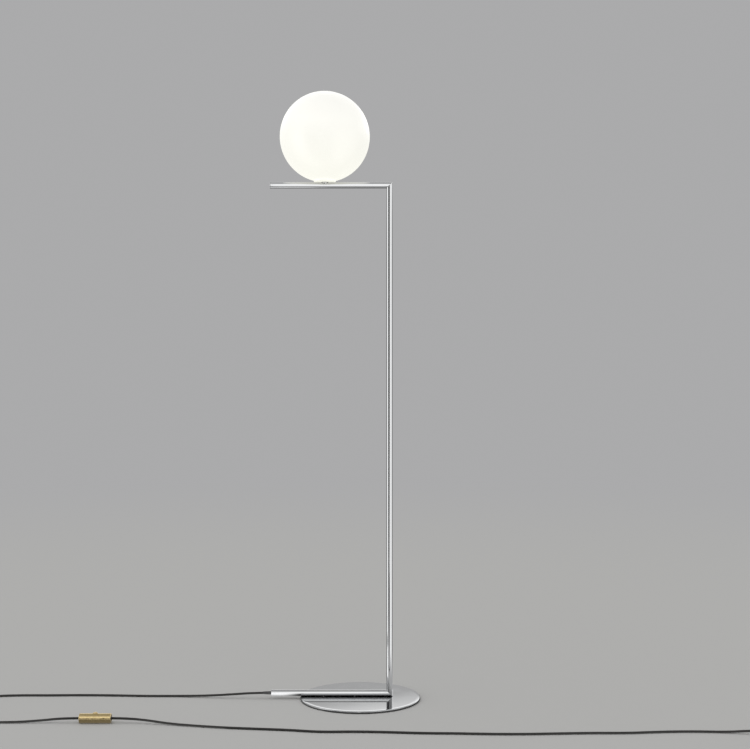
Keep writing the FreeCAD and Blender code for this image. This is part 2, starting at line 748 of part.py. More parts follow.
# ---- lead inside the frame ----
def inner_lead_route():
    """Over the nut bar, down to the outer side of each mitre, along the arm and up the stem."""
    offset = tube_bore - INNER_LEAD_DIAMETER / 2 - LEAD_GAP
    bar_start = sum(SCREW_XS) / len(SCREW_XS) - NUT_BAR_LENGTH / 2
    bar_end = bar_start + NUT_BAR_LENGTH
    start = FOOT_END_X + BUSH_DEPTH
    return [
        (start, 0, foot_z),
        (start + TUBE_DIAMETER, 0, foot_z),
        (bar_start - TUBE_DIAMETER / 2, 0, foot_z + offset),
        (bar_end - TUBE_DIAMETER, 0, foot_z + offset - LEAD_GAP / 2),
        (POLE_X + offset, 0, foot_z - offset),
        (POLE_X + offset, 0, arm_z + offset),
        (GLOBE_X + LEAD_DIP_RUN, 0, arm_z + offset - LEAD_GAP),
        (GLOBE_X + LEAD_FLAT_RUN, 0, arm_z - offset),
        (GLOBE_X, 0, arm_z - offset + BRAZE_GAP),
        (GLOBE_X, 0, stem_top),
    ]


def inner_lead():
    route = inner_lead_route()
    bends = [INNER_LEAD_BEND] * (len(route) - 3) + [STEM_LEAD_BEND]
    return cord("inner_lead", route, INNER_LEAD_DIAMETER, bends)


# ---- inline dimmer: a brass tube that lies on the floor, with a push button on top ----
dimmer_start = DIMMER_END_X - DIMMER_LENGTH
dimmer_middle = DIMMER_END_X - DIMMER_LENGTH / 2
dimmer_radius = DIMMER_DIAMETER / 2
dimmer_bore = dimmer_radius - DIMMER_WALL
board_top = dimmer_z - BOARD_DROP
board_bottom = board_top - BOARD_THICKNESS
button_top = dimmer_z + dimmer_radius + BUTTON_PROUD
flange_reach = BUTTON_FLANGE / 2
flange_top = dimmer_z + math.sqrt(dimmer_bore ** 2 - flange_reach ** 2) - MOVING_GAP
flange_bottom = flange_top - BUTTON_FLANGE_THICKNESS


def on_dimmer(x, height):
    """A point above the dimmer's centre line, at a distance from the housing's middle."""
    return Vec(dimmer_middle + x, DIMMER_Y, height)


def dimmer_housing():
    start = Vec(dimmer_start + DIMMER_CAP_FLANGE, DIMMER_Y, dimmer_z)
    end = Vec(DIMMER_END_X - DIMMER_CAP_FLANGE, DIMMER_Y, dimmer_z)
    tube = pipe(DIMMER_DIAMETER, 2 * dimmer_bore, start, end)
    return tube.cut(rod(BUTTON_DIAMETER + 2 * MOVING_GAP, on_dimmer(0, dimmer_z), on_dimmer(0, button_top)))


def dimmer_cap(end_x, axis):
    """A turned end cap: a rounded flange, a spigot in the tube and a hole for the bush."""
    hole = DIMMER_BUSH_DIAMETER / 2 + FIT_GAP
    spigot = dimmer_bore - FIT_GAP
    depth = DIMMER_CAP_FLANGE + DIMMER_CAP_SPIGOT
    profile = [
        (hole, 0),
        (dimmer_radius, 0),
        (dimmer_radius, DIMMER_CAP_FLANGE),
        (spigot, DIMMER_CAP_FLANGE),
        (spigot, depth),
        (spigot - DIMMER_WALL, depth),
        (spigot - DIMMER_WALL, DIMMER_CAP_FLANGE),
        (hole, DIMMER_CAP_FLANGE),
    ]
    centre = Vec(end_x, DIMMER_Y, dimmer_z)
    cap = turned(profile, centre, axis)
    rim = edges_where(cap, lambda middle, edge: abs((middle - centre).dot(axis)) < FIT_GAP
                      and (middle - centre).Length > dimmer_radius - FIT_GAP)
    return cap.makeFillet(DIMMER_CAP_ROUND, rim)


def dimmer_bushes():
    """A flanged bush in each cap, its flange inside."""
    body = DIMMER_BUSH_DIAMETER / 2
    bore = CORD_DIAMETER / 2 + FIT_GAP
    flange = body + DIMMER_WALL
    end = DIMMER_CAP_FLANGE + DIMMER_WALL
    profile = [
        (bore, -DIMMER_BUSH_PROUD),
        (body - DIMMER_BUSH_PROUD / 2, -DIMMER_BUSH_PROUD),
        (body, 0),
        (body, DIMMER_CAP_FLANGE),
        (flange, DIMMER_CAP_FLANGE),
        (flange, end),
        (bore, end),
    ]
    return Part.makeCompound([
        turned(profile, Vec(dimmer_start, DIMMER_Y, dimmer_z), RIGHT),
        turned(profile, Vec(DIMMER_END_X, DIMMER_Y, dimmer_z), -RIGHT),
    ])


def dimmer_board():
    """The board rests with its long edges on the wall of the tube."""
    half_width = math.sqrt((dimmer_bore - FIT_GAP) ** 2 - (dimmer_z - board_bottom) ** 2)
    low = (dimmer_middle - BOARD_LENGTH / 2, DIMMER_Y - half_width, board_bottom)
    high = (dimmer_middle + BOARD_LENGTH / 2, DIMMER_Y + half_width, board_top)
    return block(low, high)


def dimmer_terminals():
    """A two-way terminal block at each end of the board."""
    def terminal(side):
        outer = dimmer_middle + side * BOARD_LENGTH / 2
        inner = outer - side * TERMINAL_LENGTH
        half = TERMINAL_WIDTH / 2
        body = block((min(outer, inner), DIMMER_Y - half, board_top),
                     (max(outer, inner), DIMMER_Y + half, board_top + TERMINAL_HEIGHT))
        across = edges_where(body, lambda middle, edge: middle.z > board_top + TERMINAL_HEIGHT - FIT_GAP
                             and runs_along(edge, RIGHT))
        body = body.makeChamfer(TERMINAL_CHAMFER, across)
        for way in (-1, 1):
            y = DIMMER_Y + way * TERMINAL_WIDTH / 4
            entry = Vec(outer, y, dimmer_z)
            body = body.cut(rod(TERMINAL_HOLE, entry, entry - RIGHT * side * TERMINAL_HOLE_DEPTH))
            clamp = Vec((outer + inner) / 2, y, board_top + TERMINAL_HEIGHT)
            body = body.cut(rod(TERMINAL_HOLE, clamp, clamp - UP * TERMINAL_CLAMP_DEPTH))
        return body
    return each_side(terminal)


def dimmer_switch():
    half = SWITCH_SIDE / 2
    switch = block((dimmer_middle - half, DIMMER_Y - half, board_top),
                   (dimmer_middle + half, DIMMER_Y + half, board_top + SWITCH_HEIGHT))
    top = edges_where(switch, lambda middle, edge: middle.z > board_top + SWITCH_HEIGHT - FIT_GAP)
    return switch.makeChamfer(EDGE_BREAK, top)


def dimmer_choke():
    """A wound ring that lies flat on the board, between the spring and a terminal block."""
    near = (SPRING_MEAN_DIAMETER + SPRING_WIRE) / 2
    far = BOARD_LENGTH / 2 - TERMINAL_LENGTH
    ring_radius = (far - near) / 2 - MOVING_GAP - CHOKE_WIRE_RADIUS
    centre = on_dimmer(-(near + far) / 2, board_top + CHOKE_WIRE_RADIUS + BRAZE_GAP)
    return Part.makeTorus(ring_radius, CHOKE_WIRE_RADIUS, centre, UP)


def dimmer_button():
    """A domed button with a flange under the wall and a pin over the switch."""
    radius = BUTTON_DIAMETER / 2
    pin = BUTTON_PIN_DIAMETER / 2
    pin_bottom = board_top + SWITCH_HEIGHT + BUTTON_TRAVEL + FIT_GAP
    profile = [
        (0, pin_bottom),
        (pin, pin_bottom),
        (pin, flange_bottom),
        (flange_reach, flange_bottom),
        (flange_reach, flange_top),
        (radius, flange_top),
        (radius, button_top - BUTTON_CROWN),
        (radius - BUTTON_CROWN, button_top - BUTTON_DOME),
        (0, button_top),
    ]
    return turned(profile, on_dimmer(0, 0))


def dimmer_spring():
    """A coil spring between the board and the button's flange."""
    bottom = board_top + SPRING_WIRE / 2 + BRAZE_GAP
    rise = flange_bottom - SPRING_WIRE / 2 - BRAZE_GAP - bottom
    radius = SPRING_MEAN_DIAMETER / 2
    count = round(SPRING_TURNS * SPRING_POINTS_PER_TURN)
    route = []
    for i in range(count + 1):
        angle = 2 * math.pi * i / SPRING_POINTS_PER_TURN
        x = dimmer_middle + radius * math.cos(angle)
        route.append((x, DIMMER_Y + radius * math.sin(angle), bottom + rise * i / count))
    return cord("dimmer_spring", route, SPRING_WIRE)


# ---- mains plug, lying flat on the floor ----
plug_body_start = PLUG_TIP_X + PLUG_RELIEF_LENGTH
plug_front = plug_body_start + PLUG_BODY_LENGTH


def plug_pin_centres(x):
    return [Vec(x, PLUG_Y + side * PLUG_PIN_SPACING / 2, plug_z) for side in (-1, 1)]


def plug_body():
    """A flat moulded body with a waist for the fingers and a tapered relief round the cord."""
    half = PLUG_WIDTH / 2
    neck = PLUG_NECK_WIDTH / 2
    front = PLUG_FRONT_WIDTH / 2
    waist = plug_body_start + PLUG_WAIST_REACH
    shoulder = plug_body_start + PLUG_SHOULDER_REACH
    bevel = plug_body_start + PLUG_BEVEL_REACH

    def side_edges(side):
        def at(x, y):
            return Vec(x, side * y, 0)
        bow = Part.Arc(at(plug_body_start, neck), at(waist, PLUG_WAIST_WIDTH / 2), at(shoulder, half))
        flank = Part.LineSegment(at(shoulder, half), at(bevel, half))
        slope = Part.LineSegment(at(bevel, half), at(plug_front, front))
        return [edge.toShape() for edge in (bow, flank, slope)]

    nose = Part.LineSegment(Vec(plug_front, front, 0), Vec(plug_front, -front, 0)).toShape()
    tail = Part.LineSegment(Vec(plug_body_start, -neck, 0), Vec(plug_body_start, neck, 0)).toShape()
    outline = Part.Wire(Part.sortEdges(side_edges(1) + [nose] + side_edges(-1) + [tail])[0])
    body = Part.Face(outline).extrude(UP * PLUG_THICKNESS)
    body.translate(Vec(0, PLUG_Y, 0))
    level = edges_where(body, lambda middle, edge: abs(middle.z - plug_z) > plug_z - FIT_GAP
                        and plug_body_start + FIT_GAP < middle.x < plug_front - FIT_GAP)
    body = body.makeFillet(PLUG_EDGE_ROUND, level)
    tip = Vec(PLUG_TIP_X, PLUG_Y, plug_z)
    relief = Part.makeCone(PLUG_RELIEF_TIP / 2, PLUG_RELIEF_ROOT / 2, PLUG_RELIEF_LENGTH, tip, RIGHT)
    body = body.fuse(relief).removeSplitter()
    body = body.cut(rod(CORD_DIAMETER + 2 * FIT_GAP, tip, tip + RIGHT * PLUG_CORD_DEPTH))
    for centre in plug_pin_centres(plug_front):
        body = body.cut(rod(PLUG_PIN_CORE + 2 * FIT_GAP, centre - RIGHT * PLUG_PIN_ROOT, centre))
    return body


def plug_pins():
    """Pins with a solid tip and a thinner core through the sleeve into the body."""
    core = PLUG_PIN_CORE / 2
    tip = PLUG_PIN_DIAMETER / 2
    profile = [
        (0, -PLUG_PIN_ROOT),
        (core, -PLUG_PIN_ROOT),
        (core, PLUG_SLEEVE_LENGTH),
        (tip, PLUG_SLEEVE_LENGTH),
        (tip, PLUG_PIN_LENGTH - tip / 2),
        (tip / 2, PLUG_PIN_LENGTH),
        (0, PLUG_PIN_LENGTH),
    ]
    return Part.makeCompound([turned(profile, centre, RIGHT) for centre in plug_pin_centres(plug_front)])


def plug_sleeves():
    bore = PLUG_PIN_CORE + 2 * FIT_GAP
    return Part.makeCompound([
        pipe(PLUG_SLEEVE_DIAMETER, bore, centre, centre + RIGHT * PLUG_SLEEVE_LENGTH)
        for centre in plug_pin_centres(plug_front)
    ])


# ---- write every piece ----
PIECES = {
    "base_disc": base_disc,
    "base_pad": base_pad,
    "base_screws": lambda: Part.makeCompound([screw_solid(x) for x in SCREW_XS]),
    "foot_nut_bar": foot_nut_bar,
    "foot_tube": foot_tube,
    "foot_cord_bush": foot_cord_bush,
    "pole": pole,
    "upper_arm": upper_arm,
    "arm_end_cap": arm_end_cap,
    "inner_lead": inner_lead,
    "saddle_boss": saddle_boss,
    "stem": stem,
    "stem_nuts": stem_nuts,
    "gallery": gallery,
    "gallery_gasket": gallery_gasket,
    "gallery_springs": gallery_springs,
    "spring_rivets": spring_rivets,
    "holder_bracket": holder_bracket,
    "lamp_holder": lamp_holder,
    "holder_contacts": holder_contacts,
    "holder_screws": holder_screws,
    "bulb_base": bulb_base,
    "bulb_envelope": bulb_envelope,
    "bulb_pins": bulb_pins,
    "globe": globe,
    "lamp_lead": lambda: cord("lamp_lead", LAMP_LEAD_ROUTE, CORD_DIAMETER),
    "dimmer_housing": dimmer_housing,
    "dimmer_lamp_cap": lambda: dimmer_cap(dimmer_start, RIGHT),
    "dimmer_plug_cap": lambda: dimmer_cap(DIMMER_END_X, -RIGHT),
    "dimmer_bushes": dimmer_bushes,
    "dimmer_board": dimmer_board,
    "dimmer_terminals": dimmer_terminals,
    "dimmer_switch": dimmer_switch,
    "dimmer_choke": dimmer_choke,
    "dimmer_button": dimmer_button,
    "dimmer_spring": dimmer_spring,
    "plug_lead": lambda: cord("plug_lead", PLUG_LEAD_ROUTE, CORD_DIAMETER),
    "plug_body": plug_body,
    "plug_pins": plug_pins,
    "plug_sleeves": plug_sleeves,
}

os.makedirs("parts", exist_ok=True)
for piece_name, make_piece in PIECES.items():
    save(piece_name, make_piece())
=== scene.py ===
import bmesh
import bpy
import json
import math
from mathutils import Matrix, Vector


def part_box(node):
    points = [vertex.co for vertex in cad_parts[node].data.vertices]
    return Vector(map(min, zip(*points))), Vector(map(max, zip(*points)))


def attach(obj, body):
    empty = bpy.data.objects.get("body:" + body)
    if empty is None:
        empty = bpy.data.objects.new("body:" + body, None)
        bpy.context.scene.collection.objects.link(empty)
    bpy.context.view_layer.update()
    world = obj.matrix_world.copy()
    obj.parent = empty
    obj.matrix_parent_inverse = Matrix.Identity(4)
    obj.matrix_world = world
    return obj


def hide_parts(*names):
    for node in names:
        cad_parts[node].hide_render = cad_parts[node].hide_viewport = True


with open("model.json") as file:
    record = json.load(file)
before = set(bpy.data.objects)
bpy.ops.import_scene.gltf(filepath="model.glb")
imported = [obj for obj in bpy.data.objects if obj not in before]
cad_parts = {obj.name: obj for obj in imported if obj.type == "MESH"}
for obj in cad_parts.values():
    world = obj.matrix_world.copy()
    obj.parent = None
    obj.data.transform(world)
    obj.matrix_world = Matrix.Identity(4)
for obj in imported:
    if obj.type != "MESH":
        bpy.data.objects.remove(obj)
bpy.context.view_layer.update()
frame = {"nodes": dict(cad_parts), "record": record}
nodes = frame["nodes"]

FRAME_BODY = "lamp_frame"
GLOBE_BODY = "glass_globe"

MM = 0.001
CORD_DIAMETER = 5.0 * MM
TUBE_RADIUS = 7.0 * MM
TUBE_BORE = 5.5 * MM
RIM_ROUND = 0.35 * MM
DISC_EDGE_ROUND = 2.0 * MM
DISC_ROLL_OFF = 0.12 * MM
GLOBE_RADIUS = 100.0 * MM
GLASS_WALL = 3.0 * MM
GLOBE_OPENING_RADIUS = 20.0 * MM
CREASE_ANGLE = 32

X_AXIS = Vector((1, 0, 0))
Z_AXIS = Vector((0, 0, 1))


# ---- camera: level, at the height of the horizon ----
CAMERA_PLACE = (0.0327, -2.9, 0.7213)
CAMERA_LENS = 62.56
SENSOR_WIDTH = 36.0
CAMERA_CLIP = (0.05, 200.0)


def add_camera():
    data = bpy.data.cameras.new("camera")
    data.lens = CAMERA_LENS
    data.sensor_width = SENSOR_WIDTH
    data.clip_start, data.clip_end = CAMERA_CLIP
    camera = bpy.data.objects.new("camera", data)
    camera.location = CAMERA_PLACE
    camera.rotation_euler = (math.radians(90), 0, 0)
    bpy.context.scene.collection.objects.link(camera)
    bpy.context.scene.camera = camera


add_camera()


# ---- material helpers ----
class Shader:
    """A procedural material: a Principled shader and short calls that feed it."""

    def __init__(self, name, color, roughness, metallic=0.0, **sockets):
        self.material = bpy.data.materials.new(name)
        self.material.use_nodes = True
        self.tree = self.material.node_tree
        self.principled = self.tree.nodes["Principled BSDF"]
        self.set("Base Color", (*color, 1.0))
        self.set("Roughness", roughness)
        self.set("Metallic", metallic)
        for socket, value in sockets.items():
            self.set(socket.replace("_", " "), value)
        self.bump_output = None

    def set(self, socket, value):
        self.principled.inputs[socket].default_value = value

    def node(self, kind, **settings):
        made = self.tree.nodes.new(kind)
        for key, value in settings.items():
            setattr(made, key, value)
        return made

    def link(self, output, target):
        self.tree.links.new(output, target)

    def place(self, stretch=(1, 1, 1)):
        """Object coordinates, which are the lamp's own frame in metres, stretched along each axis."""
        coordinates = self.node("ShaderNodeTexCoord")
        mapping = self.node("ShaderNodeMapping")
        mapping.inputs["Scale"].default_value = stretch
        self.link(coordinates.outputs["Object"], mapping.inputs["Vector"])
        return mapping.outputs["Vector"]

    def noise(self, scale, detail=3.0, roughness=0.55, stretch=(1, 1, 1)):
        texture = self.node("ShaderNodeTexNoise")
        texture.inputs["Scale"].default_value = scale
        texture.inputs["Detail"].default_value = detail
        texture.inputs["Roughness"].default_value = roughness
        self.link(self.place(stretch), texture.inputs["Vector"])
        return texture.outputs["Fac"]

    def cells(self, scale, stretch=(1, 1, 1)):
        texture = self.node("ShaderNodeTexVoronoi")
        texture.inputs["Scale"].default_value = scale
        self.link(self.place(stretch), texture.inputs["Vector"])
        return texture.outputs["Distance"]

    def span(self, value, low, high, from_low=0.3, from_high=0.7):
        """The value's range mapped to low..high."""
        mapped = self.node("ShaderNodeMapRange")
        mapped.inputs["From Min"].default_value = from_low
        mapped.inputs["From Max"].default_value = from_high
        mapped.inputs["To Min"].default_value = low
        mapped.inputs["To Max"].default_value = high
        self.link(value, mapped.inputs["Value"])
        return mapped.outputs["Result"]

    def rough(self, value, low, high):
        self.link(self.span(value, low, high), self.principled.inputs["Roughness"])
        return self

    def tint(self, value, dark, light, socket="Base Color", low=0.3, high=0.7):
        ramp = self.node("ShaderNodeValToRGB")
        ramp.color_ramp.elements[0].position = low
        ramp.color_ramp.elements[1].position = high
        ramp.color_ramp.elements[0].color = (*dark, 1.0)
        ramp.color_ramp.elements[1].color = (*light, 1.0)
        self.link(value, ramp.inputs["Fac"])
        self.link(ramp.outputs["Color"], self.principled.inputs[socket])
        return self

    def bump(self, height, depth, strength=1.0):
        """Raises the surface by up to depth metres where height is 1. Calls add up."""
        made = self.node("ShaderNodeBump")
        made.inputs["Distance"].default_value = depth
        made.inputs["Strength"].default_value = strength
        self.link(height, made.inputs["Height"])
        if self.bump_output:
            self.link(self.bump_output, made.inputs["Normal"])
        self.bump_output = made.outputs["Normal"]
        self.link(self.bump_output, self.principled.inputs["Normal"])
        return self


# ---- materials ----
# How far the painted corner shade on chrome reaches, in metres.
CORNER_SHADE_REACH = 0.026
GLOW_HEIGHTS = (1.155, 1.33)


def chrome(name, color=(0.56, 0.565, 0.57), smudge=0.05, shaded_corner_share=0.8):
    """Mirror plating with faint smudges and a trace of orange peel. Painted shade darkens it in corners and
    close to other parts, where only a share of the brightness is kept.
    """
    shader = Shader(name, color, smudge, 1.0)
    shader.rough(shader.noise(14.0, 5.0), smudge * 0.5, smudge * 1.6)
    shader.bump(shader.noise(260.0, 2.0), 0.000002)
    # Painted shade: ambient occlusion darkens the base colour near other surfaces, standing in for contact
    # shadow.
    corners = shader.node("ShaderNodeAmbientOcclusion", samples=8)
    corners.inputs["Distance"].default_value = CORNER_SHADE_REACH
    corner_shade_color = tuple(channel * shaded_corner_share for channel in color)
    shader.tint(corners.outputs["AO"], corner_shade_color, color, low=0.10, high=0.60)
    return shader.material


def zinc(name):
    shader = Shader(name, (0.60, 0.60, 0.60), 0.32, 1.0)
    shader.tint(shader.noise(700.0, 4.0), (0.50, 0.50, 0.49), (0.68, 0.68, 0.67))
    shader.rough(shader.noise(300.0), 0.24, 0.42)
    return shader.material


def spring_steel(name):
    shader = Shader(name, (0.50, 0.49, 0.46), 0.3, 1.0)
    shader.tint(shader.noise(400.0, 4.0), (0.42, 0.41, 0.38), (0.56, 0.55, 0.52))
    shader.rough(shader.noise(900.0, stretch=(1, 1, 0.1)), 0.22, 0.38)
    return shader.material


def brass(name):
    """Satin brass, turned on a lathe about its own axis, which lies along X."""
    shader = Shader(name, (0.555, 0.435, 0.225), 0.24, 1.0)
    shader.tint(shader.noise(160.0, 4.0), (0.515, 0.40, 0.20), (0.595, 0.47, 0.25))
    shader.rough(shader.noise(2600.0, 2.0, stretch=(1, 0.02, 0.02)), 0.20, 0.28)
    shader.bump(shader.noise(2600.0, 2.0, stretch=(1, 0.02, 0.02)), 0.000004)
    return shader.material


def nickel(name):
    shader = Shader(name, (0.66, 0.63, 0.57), 0.18, 1.0)
    shader.rough(shader.noise(500.0), 0.12, 0.26)
    shader.tint(shader.noise(350.0), (0.60, 0.57, 0.50), (0.72, 0.69, 0.64))
    return shader.material


def sheath(name, color=(0.009, 0.0085, 0.0075)):
    """Smooth black cord sheath with a soft sheen and faint scuffs."""
    shader = Shader(name, color, 0.5, Specular_IOR_Level=0.3)
    lighter = tuple(channel * 1.9 for channel in color)
    shader.tint(shader.noise(220.0, 5.0), color, lighter)
    shader.rough(shader.noise(500.0, 4.0), 0.42, 0.6)
    shader.bump(shader.noise(1800.0, 2.0), 0.00002)
    return shader.material


def moulded(name, color, grain=1600.0, roughness=0.45):
    """Moulded plastic with a fine spark-eroded grain."""
    shader = Shader(name, color, roughness)
    lighter = tuple(min(channel * 1.25 + 0.004, 1.0) for channel in color)
    shader.tint(shader.noise(300.0, 3.0), color, lighter)
    shader.rough(shader.noise(grain, 2.0), roughness * 0.85, roughness * 1.2)
    shader.bump(shader.cells(grain), 0.00002)
    return shader.material


def rubber(name, color):
    shader = Shader(name, color, 0.75)
    lighter = tuple(min(channel * 1.6 + 0.004, 1.0) for channel in color)
    shader.tint(shader.noise(1200.0, 4.0), color, lighter)
    shader.bump(shader.noise(2400.0, 3.0), 0.00004)
    return shader.material


def silicone(name):
    """Translucent cream silicone with a painted glow, standing in for the globe's light shining through it."""
    shader = Shader(name, (0.36, 0.355, 0.32), 0.5, Emission_Strength=1.0)
    shader.tint(shader.noise(260.0), (0.33, 0.325, 0.29), (0.39, 0.385, 0.35))
    # Painted glow: emission in place of the lit globe's light.
    shader.tint(shader.noise(180.0), (0.72, 0.715, 0.64), (0.77, 0.765, 0.69), "Emission Color")
    shader.bump(shader.noise(900.0), 0.00003)
    return shader.material


def ceramic(name):
    """Pressed unglazed ceramic, faintly speckled."""
    shader = Shader(name, (0.74, 0.72, 0.67), 0.6)
    shader.tint(shader.noise(1500.0, 5.0), (0.66, 0.64, 0.58), (0.80, 0.78, 0.73))
    shader.bump(shader.noise(2200.0, 3.0), 0.00004)
    return shader.material


def opal_glass(name):
    """Lit opal glass: an even warm glow, a little brighter and creamier low down, near the bulb."""
    shader = Shader(name, (0.20, 0.198, 0.192), 0.38, Emission_Strength=1.0)
    coordinates = shader.node("ShaderNodeTexCoord")
    parts = shader.node("ShaderNodeSeparateXYZ")
    shader.link(coordinates.outputs["Object"], parts.inputs["Vector"])
    height = shader.span(parts.outputs["Z"], 0.0, 1.0, *GLOW_HEIGHTS)
    shader.tint(height, (0.86, 0.855, 0.775), (0.69, 0.685, 0.65), "Emission Color", 0.0, 1.0)
    shader.rough(shader.noise(30.0, 4.0), 0.32, 0.44)
    shader.bump(shader.noise(9.0, 2.0), 0.0002)
    return shader.material


def frosted_glass(name):
    shader = Shader(name, (0.86, 0.84, 0.78), 0.45, Emission_Strength=0.8)
    shader.tint(shader.noise(400.0), (0.98, 0.90, 0.74), (1.0, 0.95, 0.84), "Emission Color")
    shader.bump(shader.noise(1500.0), 0.00003)
    return shader.material


def circuit_board(name):
    shader = Shader(name, (0.03, 0.14, 0.07), 0.35)
    shader.tint(shader.cells(420.0), (0.02, 0.11, 0.05), (0.06, 0.22, 0.11))
    shader.bump(shader.cells(420.0), 0.00003)
    return shader.material


def copper_winding(name):
    """Enamelled wire wound closely round a ring."""
    shader = Shader(name, (0.55, 0.20, 0.07), 0.3, 0.8)
    shader.tint(shader.noise(1400.0, 1.0), (0.36, 0.12, 0.04), (0.66, 0.27, 0.11))
    shader.bump(shader.noise(1400.0, 1.0), 0.0001)
    return shader.material


MATERIALS = {
    "chrome": chrome("mirror_chrome"),
    "zinc_steel": zinc("zinc_plate"),
    "spring_steel": spring_steel("spring_steel"),
    "black_pad": rubber("pad_foam", (0.02, 0.02, 0.02)),
    "black_bush": moulded("black_bush", (0.02, 0.02, 0.02)),
    "lead_sheath": sheath("inner_sheath", (0.03, 0.03, 0.03)),
    "cord_black": sheath("cord_sheath"),
    "opal_glass": opal_glass("opal_glass"),
    "frosted_glass": frosted_glass("frosted_glass"),
    "silicone": silicone("silicone"),
    "ceramic": ceramic("ceramic"),
    "nickel": nickel("nickel"),
    "brass": brass("turned_brass"),
    "board": circuit_board("circuit_board"),
    "terminal_plastic": moulded("terminal_plastic", (0.66, 0.66, 0.62)),
    "choke": copper_winding("copper_winding"),
    "plug_black": moulded("plug_plastic", (0.02, 0.02, 0.02), 1300.0, 0.5),
}


def dress_cad_nodes():
    """Every carried-over node gets the procedural material of its slot."""
    slots = {part["node"]: part["material_slot"] for part in frame["record"]["subparts"]}
    for name, node in nodes.items():
        node.data.materials.clear()
        node.data.materials.append(MATERIALS[slots[name]])
        for polygon in node.data.polygons:
            polygon.material_index = 0


dress_cad_nodes()
# The disc and the foot tube take stronger painted shade, where the tube lies on the disc.
DISC_CHROME = chrome("disc_chrome", (0.42, 0.425, 0.43), 0.04, shaded_corner_share=0.45)
FOOT_CHROME = chrome("foot_chrome", shaded_corner_share=0.5)


# ---- mesh helpers ----
def new_piece(name, mesh_builder, body, slot, *replaced, material=None):
    """Links a mesh piece, smooth where its faces meet gently, ties it to its body and gives it its slot's
    material unless another is given.
    """
    mesh_builder.normal_update()
    bmesh.ops.recalc_face_normals(mesh_builder, faces=mesh_builder.faces)
    for face in mesh_builder.faces:
        face.smooth = True
    for edge in mesh_builder.edges:
        if len(edge.link_faces) == 2 and edge.calc_face_angle() > math.radians(CREASE_ANGLE):
            edge.smooth = False
    mesh = bpy.data.meshes.new(name)
    mesh_builder.to_mesh(mesh)
    mesh_builder.free()
    piece = bpy.data.objects.new(name, mesh)
    bpy.context.scene.collection.objects.link(piece)
    mesh.materials.append(material or MATERIALS[slot])
    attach(piece, body)
    if replaced:
        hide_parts(*replaced)
    return piece


def skin_rings(builder, rings, closed=False):
    """Joins rings of vertices, given as lists of points, with quads."""
    made = [[builder.verts.new(point) for point in ring] for ring in rings]
    pairs = list(zip(made, made[1:]))
    if closed:
        pairs.append((made[-1], made[0]))
    for first, second in pairs:
        count = len(first)
        for i in range(count):
            j = (i + 1) % count
            builder.faces.new((first[i], first[j], second[j], second[i]))
    return made


def turned_rings(profile, centre, axis, segments):
    """Rings of points for a profile of (radius, height), turned about an axis."""
    across = axis.orthogonal().normalized()
    beside = axis.cross(across)
    rings = []
    for radius, height in profile:
        ring = []
        for i in range(segments):
            angle = 2 * math.pi * i / segments
            ring.append(centre + axis * height + (across * math.cos(angle) + beside * math.sin(angle)) * radius)
        rings.append(ring)
    return rings


def arc_profile(centre, radius, start, end, steps):
    """Points (radius, height) on an arc between two angles in degrees."""
    points = []
    for i in range(steps + 1):
        angle = math.radians(start + (end - start) * i / steps)
        points.append((centre[0] + radius * math.cos(angle), centre[1] + radius * math.sin(angle)))
    return points


# ---- frame tubes: fine meshes with mitred ends ----
TUBE_SEGMENTS = 96
foot_low, foot_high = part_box("foot_tube")
arm_low, arm_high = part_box("upper_arm")
pole_low, pole_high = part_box("pole")
foot_z = (foot_low.z + foot_high.z) / 2
arm_z = (arm_low.z + arm_high.z) / 2
pole_x = (pole_low.x + pole_high.x) / 2
foot_corner = Vector((pole_x, 0, foot_z))
arm_corner = Vector((pole_x, 0, arm_z))


def cut_ring(radius, centre, axis, plane_point, plane_normal, inset=0.0):
    """A ring of the tube where a plane cuts it, drawn back along the axis by an inset."""
    across = Vector((0, 1, 0))
    beside = axis.cross(across)
    ring = []
    for i in range(TUBE_SEGMENTS):
        angle = 2 * math.pi * i / TUBE_SEGMENTS
        point = centre + (across * math.cos(angle) + beside * math.sin(angle)) * radius
        reach = (plane_point - point).dot(plane_normal) / axis.dot(plane_normal)
        ring.append(point + axis * (reach - inset))
    return ring


def frame_tube(name, node, centre, axis, start, start_normal, end, end_normal, material=None):
    """A closed tube wall between two cutting planes, its edges slightly rounded.

    Plain rings just inside each rounded edge keep the long wall's shading straight.
    """
    builder = bmesh.new()
    soft = RIM_ROUND
    insets = (soft, soft * 2, soft * 4)
    rings = [
        cut_ring(TUBE_BORE, centre, axis, start, start_normal),
        cut_ring(TUBE_RADIUS - soft, centre, axis, start, start_normal),
        cut_ring(TUBE_RADIUS - soft * 0.3, centre, axis, start, start_normal, -soft * 0.3),
    ]
    rings += [cut_ring(TUBE_RADIUS, centre, axis, start, start_normal, -inset) for inset in insets]
    rings += [cut_ring(TUBE_RADIUS, centre, axis, end, end_normal, inset) for inset in reversed(insets)]
    rings += [
        cut_ring(TUBE_RADIUS - soft * 0.3, centre, axis, end, end_normal, soft * 0.3),
        cut_ring(TUBE_RADIUS - soft, centre, axis, end, end_normal),
        cut_ring(TUBE_BORE, centre, axis, end, end_normal),
    ]
    skin_rings(builder, rings, closed=True)
    return new_piece(name, builder, FRAME_BODY, "chrome", node, material=material)


foot_mitre = Vector((1, 0, 1)).normalized()
arm_mitre = Vector((1, 0, -1)).normalized()
foot_start = Vector((foot_low.x, 0, foot_z))
arm_start = Vector((arm_low.x, 0, arm_z))
frame_tube(
    "foot_tube_skin", "foot_tube", foot_start, X_AXIS, foot_start, X_AXIS, foot_corner, foot_mitre,
    material=FOOT_CHROME,
)
frame_tube("arm_tube_skin", "upper_arm", arm_start, X_AXIS, arm_start, X_AXIS, arm_corner, arm_mitre)
frame_tube("pole_tube_skin", "pole", foot_corner, Z_AXIS, foot_corner, foot_mitre, arm_corner, -arm_mitre)


